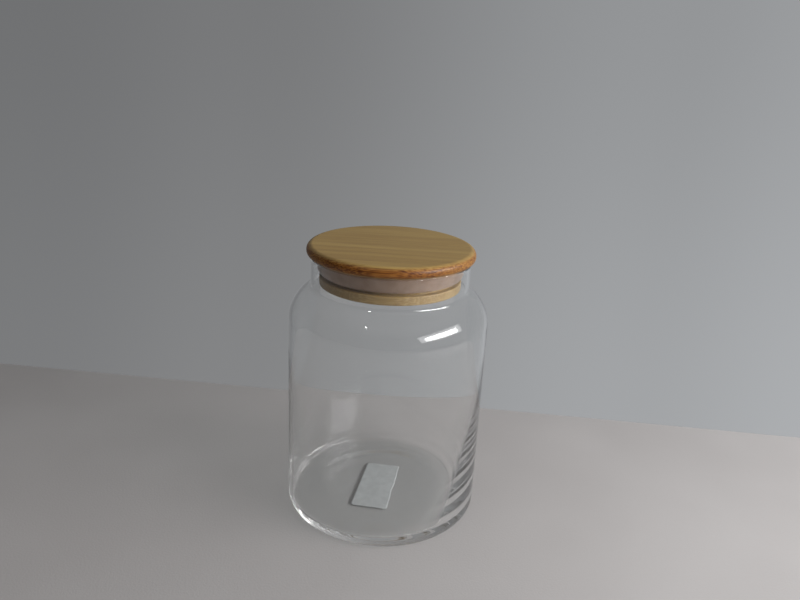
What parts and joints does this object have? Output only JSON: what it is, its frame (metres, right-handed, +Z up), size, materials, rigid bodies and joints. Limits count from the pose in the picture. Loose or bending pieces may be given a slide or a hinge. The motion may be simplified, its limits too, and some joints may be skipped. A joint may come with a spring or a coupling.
{
  "type": "food canister",
  "caption": "Clear glass food canister with a rounded shoulder, a straight neck and a push-in bamboo lid sealed by a silicone ring.",
  "frame": {"origin": "centre of the base, on the surface that the jar stands on", "axes": "+Z up along the jar's axis, +X along the grain of the bamboo lid"},
  "size_m": [0.105, 0.105, 0.1481],
  "materials": {
    "glass": "polished clear",
    "silicone": "milky satin",
    "bamboo": "sanded and oiled",
    "paper": "matt"
  },
  "bodies": {
    "jar": {"glass_jar": "glass", "paper_label": "paper"},
    "seal": {"silicone_seal": "silicone"},
    "lid": {"bamboo_strip_01": "bamboo", "bamboo_strip_02": "bamboo", "bamboo_strip_03": "bamboo", "bamboo_strip_04": "bamboo", "bamboo_strip_05": "bamboo", "bamboo_strip_06": "bamboo", "bamboo_strip_07": "bamboo", "bamboo_strip_08": "bamboo", "bamboo_strip_09": "bamboo", "bamboo_strip_10": "bamboo", "bamboo_strip_11": "bamboo", "bamboo_strip_12": "bamboo", "bamboo_strip_13": "bamboo"}
  },
  "joints": [
    {"name": "lid_lift", "type": "slide", "parent": "jar", "child": "seal", "axis": [0, 0, 1], "range_m": [0, 0.06]},
    {"name": "lid_turn", "type": "hinge", "parent": "seal", "child": "lid", "pos_m": [0, 0, 0.138], "axis": [0, 0, 1], "continuous": true}
  ]
}
